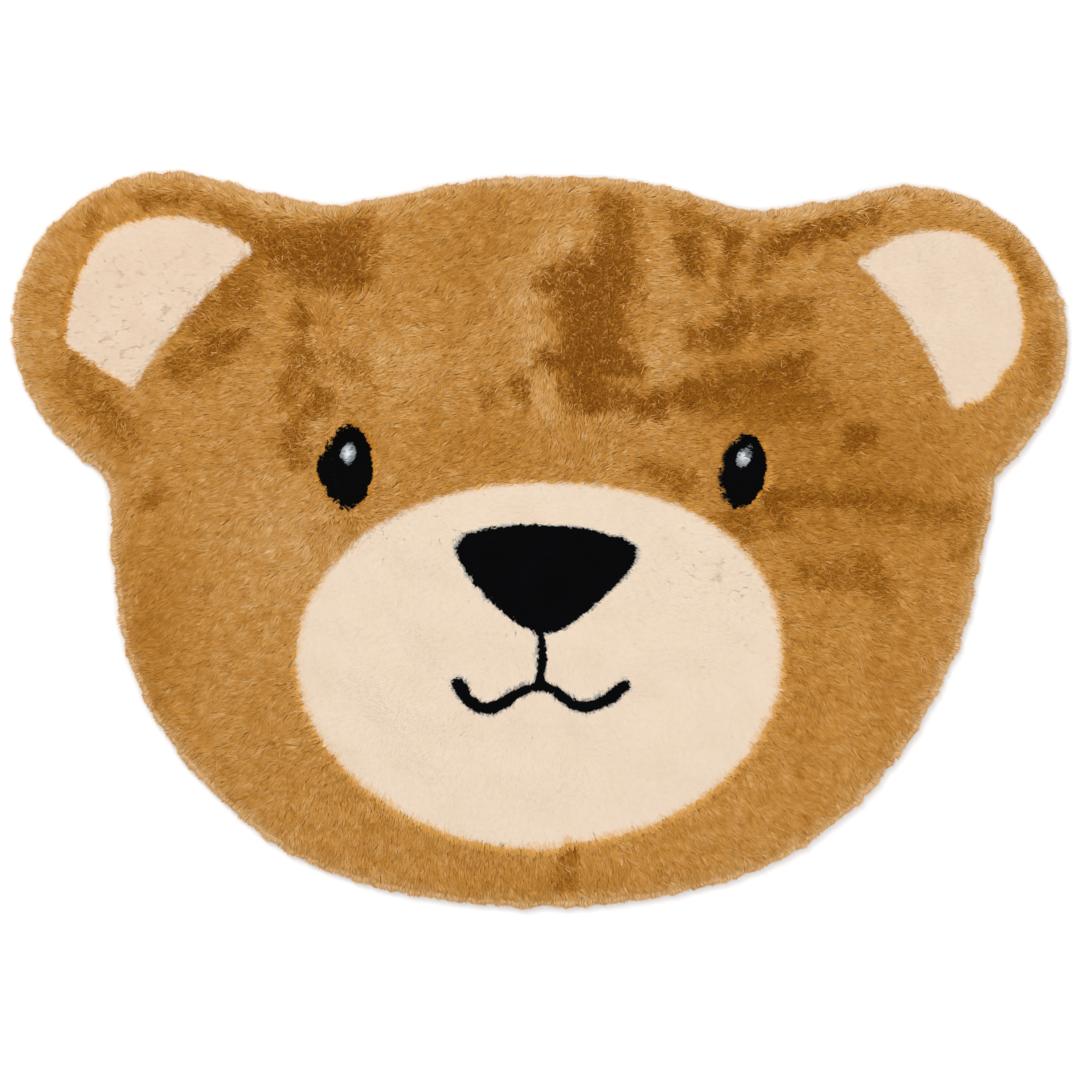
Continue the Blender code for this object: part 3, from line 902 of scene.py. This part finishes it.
def strand_faces(name, points, count):
    """A mesh of strands with four points each, in two triangles that meet across the widest place."""
    first = np.arange(count)[:, None] * 4
    corners = (first + np.array([[0, 1, 2, 1, 3, 2]])).ravel()
    mesh = bpy.data.meshes.new(name)
    mesh.vertices.add(len(points))
    mesh.vertices.foreach_set("co", points.astype(np.float32).ravel())
    mesh.loops.add(len(corners))
    mesh.loops.foreach_set("vertex_index", corners.astype(np.int32))
    mesh.polygons.add(count * 2)
    mesh.polygons.foreach_set("loop_start", np.arange(0, len(corners), 3, dtype=np.int32))
    mesh.polygons.foreach_set("use_smooth", np.ones(count * 2, bool))
    mesh.update(calc_edges=True)
    return mesh, corners


def mark_tones(mesh, corners, strands):
    """Keeps each strand's tone and the way along it, in attributes and on a map."""
    tone = np.clip(strands["tone"], *TONE_LIMITS)
    along = np.array([0.0, MIDDLE_SHARE, MIDDLE_SHARE, 1.0])
    # Painted shade: the more root shade a strand has, the darker its root starts on the root ramp.
    along = 1 - strands["dark"][:, None] * (1 - along)
    for title, values in (("tone", np.repeat(tone, 4)), ("along", along.ravel())):
        kept = mesh.attributes.new(title, "FLOAT", "POINT")
        kept.data.foreach_set("value", values.astype(np.float32))
    across = (tone[:, None] + np.array([0.0, -MAP_HALF_WIDTH, MAP_HALF_WIDTH, 0.0])).ravel()
    upward = (MAP_MARGIN + (1 - 2 * MAP_MARGIN) * along).ravel()
    layer = mesh.uv_layers.new(name="OFBake")
    layer.uv.foreach_set("vector", np.column_stack([across, upward])[corners].astype(np.float32).ravel())


def strand_mesh(name, strands, draw):
    """One mesh of these strands. Each turns its broad side up, rolled a little one way or the other."""
    count = len(strands["width"])
    root, middle, tip = strands["root"], strands["middle"], strands["tip"]
    along = tip - root
    side = unit(np.column_stack([-along[:, 1], along[:, 0], np.zeros(count)]))
    up = np.cross(along, side)
    up = unit(up * np.where(up[:, 2:] < 0, -1, 1))
    roll = (draw.normal(0, ROLL_SPREAD, count) * (1 - CALM_ROLL_LOSS * strands["calm"]))[:, None]
    side = side * np.cos(roll) + up * np.sin(roll)
    half = side * strands["width"][:, None] / 2
    points = np.stack([root, middle - half, middle + half, tip], axis=1).reshape(-1, 3)
    points[:, 2] = np.maximum(points[:, 2], LEAST_HEIGHT)
    mesh, corners = strand_faces(name, points, count)
    # Shading goes by the pile's surface more than by each thin strand, as soft pile does.
    shading = up * SHADING_BY_STRAND + side * SHADING_BY_ROLL
    shading[:, 2] += SHADING_BY_SURFACE + CALM_SHADING * strands["calm"]
    mesh.normals_split_custom_set_from_vertices(np.repeat(unit(shading), 4, axis=0))
    mark_tones(mesh, corners, strands)
    return mesh


# Materials

def linear(red, green, blue):
    """A colour given as it shows on a screen, 0 to 255, as Blender's own linear numbers."""
    shown = np.array([red, green, blue]) / 255
    value = np.where(shown <= 0.04045, shown / 12.92, ((shown + 0.055) / 1.055) ** 2.4)
    return (*value.tolist(), 1.0)


def grey(value):
    return (value, value, value, 1.0)


# The ground cloth's colours, on its underside and under the pile.
CLOTH_COLOUR = linear(206, 186, 158)
# Under ruffled pile the cloth is a deeper brown, painted shade of the deep pile there.
BROWN_CLOTH, SHADED_BROWN_CLOTH = linear(194, 137, 64), linear(136, 82, 16)
CREAM_CLOTH, BLACK_CLOTH = linear(226, 208, 188), linear(4, 4, 5)


def new_material(name):
    material = bpy.data.materials.new(name)
    material.use_nodes = True
    nodes, links = material.node_tree.nodes, material.node_tree.links
    return material, nodes, links, nodes["Principled BSDF"]


def set_inputs(node, values):
    for title, value in values.items():
        node.inputs[title].default_value = value


def attribute(nodes, title):
    node = nodes.new("ShaderNodeAttribute")
    node.attribute_name = title
    return node.outputs


def ramp(nodes, links, along, stops):
    node = nodes.new("ShaderNodeValToRGB")
    elements = node.color_ramp.elements
    while len(elements) < len(stops):
        elements.new(0.5)
    for element, (position, colour) in zip(elements, stops):
        element.position = position
        element.color = colour
    links.new(along, node.inputs["Fac"])
    return node.outputs["Color"]


def multiplied(nodes, links, first, second):
    node = nodes.new("ShaderNodeMix")
    node.data_type = "RGBA"
    node.blend_type = "MULTIPLY"
    factor, first_input, second_input = node.inputs[0], node.inputs[6], node.inputs[7]
    factor.default_value = 1.0
    links.new(first, first_input)
    links.new(second, second_input)
    return node.outputs[2]


def fur_material(name, tones, root_shades, sheen, specular=0.08):
    """Pile darkened toward its root with painted shade, with a tone of its own for each strand."""
    material, nodes, links, shader = new_material(name)
    tips = ramp(nodes, links, attribute(nodes, "tone")["Fac"], tones)
    # Painted shade: this ramp darkens each strand toward its root.
    roots = ramp(nodes, links, attribute(nodes, "along")["Fac"], root_shades)
    links.new(multiplied(nodes, links, tips, roots), shader.inputs["Base Color"])
    set_inputs(shader, {"Roughness": 0.85, "Specular IOR Level": specular})
    set_inputs(shader, {"Sheen Weight": sheen, "Sheen Tint": tones[-1][1], "Sheen Roughness": 0.45})
    return material


def brown_pile():
    tones = (
        (0.0, linear(152, 92, 14)),
        (0.3, linear(178, 116, 34)),
        (0.6, linear(206, 148, 70)),
        (0.85, linear(223, 180, 118)),
        (1.0, linear(234, 200, 154)),
    )
    # Painted shade toward the roots.
    root_shades = ((0.0, linear(140, 104, 52)), (0.45, linear(212, 192, 156)), (1.0, grey(1.0)))
    return fur_material("brown_pile", tones, root_shades, sheen=0.03)


def cream_pile():
    """From the halo's grey over the creams, darkest for painted crease shade, to tan, where it holds brown
    dye.
    """
    tones = (
        (0.0, linear(116, 114, 110)),
        (0.08, linear(190, 186, 176)),
        (0.15, linear(207, 184, 159)),
        (0.35, linear(213, 191, 168)),
        (0.62, linear(220, 201, 180)),
        (0.8, linear(220, 201, 180)),
        (1.0, linear(211, 166, 108)),
    )
    # Painted shade toward the roots.
    root_shades = ((0.0, linear(236, 210, 180)), (0.45, linear(252, 244, 234)), (1.0, grey(1.0)))
    return fur_material("cream_pile", tones, root_shades, sheen=0.03)


def black_pile():
    tones = ((0.0, linear(2, 2, 3)), (0.5, linear(4, 4, 5)), (1.0, linear(9, 10, 12)))
    # Painted shade toward the roots.
    root_shades = ((0.0, grey(0.6)), (1.0, grey(1.0)))
    return fur_material("black_pile", tones, root_shades, sheen=0.0, specular=0.03)


def glint_pile():
    tones = ((0.0, linear(50, 54, 57)), (0.5, linear(150, 156, 159)), (1.0, linear(212, 217, 220)))
    # Painted shade toward the roots.
    root_shades = ((0.0, grey(0.4)), (1.0, grey(1.0)))
    return fur_material("glint_pile", tones, root_shades, sheen=0.1)


def ground_material():
    """The ground cloth and its dense underfur: printed above, plain knit below."""
    material, nodes, links, shader = new_material("ground_cloth")
    where = nodes.new("ShaderNodeTexCoord").outputs["Object"]
    grain = nodes.new("ShaderNodeTexNoise")
    set_inputs(grain, {"Scale": 420.0, "Detail": 4.0})
    links.new(where, grain.inputs["Vector"])
    fleck = ramp(nodes, links, grain.outputs["Fac"], ((0.3, grey(0.84)), (0.7, grey(1.0))))
    printed = attribute(nodes, "print")["Color"]
    links.new(multiplied(nodes, links, printed, fleck), shader.inputs["Base Color"])
    ribs = nodes.new("ShaderNodeTexWave")
    set_inputs(ribs, {"Scale": 190.0, "Distortion": 1.5, "Detail": 2.0})
    links.new(where, ribs.inputs["Vector"])
    bump = nodes.new("ShaderNodeBump")
    set_inputs(bump, {"Strength": 0.35, "Distance": 0.0006})
    links.new(ribs.outputs["Fac"], bump.inputs["Height"])
    links.new(bump.outputs["Normal"], shader.inputs["Normal"])
    set_inputs(shader, {"Roughness": 0.95, "Specular IOR Level": 0.2})
    return material


# Pieces

def shown(mesh, material, slot):
    obj = bpy.data.objects.new(mesh.name, mesh)
    bpy.context.scene.collection.objects.link(obj)
    mesh.materials.append(material)
    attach(obj, "root")
    return obj


def cloth_colours(places):
    """The print as it reached the ground cloth, with painted shade: deeper brown under ruffled pile."""
    x, y = places[:, 0], places[:, 1]
    brown, shaded_brown = np.array(BROWN_CLOTH), np.array(SHADED_BROWN_CLOTH)
    deep = ruffle_at(x, y)[:, None]
    dyed = smoothstep(cream_depth(x, y), *CLOTH_DYE_BORDER)[:, None]
    colours = (brown * (1 - deep) + shaded_brown * deep) * (1 - dyed) + np.array(CREAM_CLOTH) * dyed
    colours[black_depth(x, y) > BLACK_CLOTH_DEPTH] = BLACK_CLOTH
    colours[places[:, 2] < UNDERSIDE] = CLOTH_COLOUR
    return colours


def ground_cloth(node, field):
    """The ground cloth with its underfur, one closed sheet a little inside the solid's surface."""
    mesh = node.data.copy()
    mesh.name = "ground_cloth"
    mesh.materials.clear()
    shape = bmesh.new()
    shape.from_mesh(mesh)
    bmesh.ops.remove_doubles(shape, verts=shape.verts, dist=1e-5)
    bmesh.ops.subdivide_edges(shape, edges=shape.edges, cuts=1, use_grid_fill=True)
    bmesh.ops.triangulate(shape, faces=shape.faces)
    places = np.array([vertex.co for vertex in shape.verts])
    edge = np.maximum(field.read(field.edge, places[:, 0], places[:, 1]), 0)
    out_x, out_y = field.outward(places[:, 0], places[:, 1])
    inset = CLOTH_INSET * (1 - smoothstep(edge, 0.0, CLOTH_INSET_BAND)) * (places[:, 2] > UNDERSIDE)
    places[:, 0] -= out_x * inset
    places[:, 1] -= out_y * inset
    places[:, 2] *= UNDERFUR_SHARE + CALM_UNDERFUR * shape_share(places[:, 0], places[:, 1], CLOTH_BORDER)
    for vertex, place in zip(shape.verts, places):
        vertex.co = place
    shape.to_mesh(mesh)
    shape.free()
    printed = mesh.attributes.new("print", "FLOAT_COLOR", "POINT")
    printed.data.foreach_set("color", cloth_colours(places).astype(np.float32).ravel())
    cloth = shown(mesh, ground_material(), "brown_plush")
    for face in mesh.polygons:
        face.use_smooth = True
    return cloth


def pile_pieces(field, lip):
    """The pile, as pieces of one colour each, with several side by side where there are many strands."""
    draw = np.random.default_rng(SEED)
    pile, rim = grow_pile(field, draw), grow_rim(field, lip, draw)
    strands = {key: np.concatenate([pile[key], rim[key]]) for key in pile}
    kinds = (
        (BROWN, "brown_pile", brown_pile(), "brown_plush"),
        (CREAM, "cream_pile", cream_pile(), "cream_plush"),
        (BLACK, "black_pile", black_pile(), "black_plush"),
        (GLINT, "eye_glints", glint_pile(), "cream_plush"),
    )
    pieces = []
    for region, title, material, slot in kinds:
        chosen = np.flatnonzero(strands["region"] == region)
        chosen = chosen[np.argsort(strands["root"][chosen, 0], kind="stable")]
        shares = np.array_split(chosen, max(1, math.ceil(len(chosen) / MOST_STRANDS_A_PIECE)))
        for index, share in enumerate(shares):
            name = title if len(shares) == 1 else f"{title}_{index + 1}"
            picked = {key: values[share] for key, values in strands.items()}
            pieces.append(shown(strand_mesh(name, picked, draw), material, slot))
    return pieces


# Studio

def floor():
    mesh = bpy.data.meshes.new("studio_floor")
    corners = [(x * FLOOR_REACH, y * FLOOR_REACH, 0) for x, y in ((-1, -1), (1, -1), (1, 1), (-1, 1))]
    mesh.from_pydata(corners, [], [(0, 1, 2, 3)])
    material, _, _, shader = new_material("studio_floor")
    set_inputs(shader, {"Base Color": grey(FLOOR_SHADE), "Roughness": 0.9, "Specular IOR Level": 0.1})
    mesh.materials.append(material)
    obj = bpy.data.objects.new("studio_floor", mesh)
    bpy.context.scene.collection.objects.link(obj)


def area_light(name, place, size, power):
    light = bpy.data.lights.new(name, "AREA")
    light.shape = "SQUARE"
    light.size = size
    light.energy = power
    obj = bpy.data.objects.new(name, light)
    obj.location = place
    obj.rotation_euler = (-Vector(place)).to_track_quat("-Z", "Y").to_euler()
    bpy.context.scene.collection.objects.link(obj)


def studio():
    scene = bpy.context.scene
    world = bpy.data.worlds.new("studio_world")
    world.use_nodes = True
    set_inputs(world.node_tree.nodes["Background"], {"Color": grey(1.0), "Strength": DAYLIGHT})
    scene.world = world
    scene.view_settings.view_transform = "Standard"
    for name, place, size, power in LIGHTS:
        area_light(name, place, size, power)


def camera():
    data = bpy.data.cameras.new("camera")
    data.sensor_width = SENSOR_MM
    data.lens = data.sensor_width * (CAMERA_HEIGHT - PILE_LEVEL) / PICTURE_WIDTH
    obj = bpy.data.objects.new("camera", data)
    obj.location = (0.0, 0.0, CAMERA_HEIGHT)
    bpy.context.scene.collection.objects.link(obj)
    bpy.context.scene.camera = obj


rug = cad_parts[PLUSH_NODE]
field = RugField(rug)
cloth = ground_cloth(rug, field)
pile = pile_pieces(field, lip_points(rug.data))
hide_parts(PLUSH_NODE)
floor()
studio()
camera()
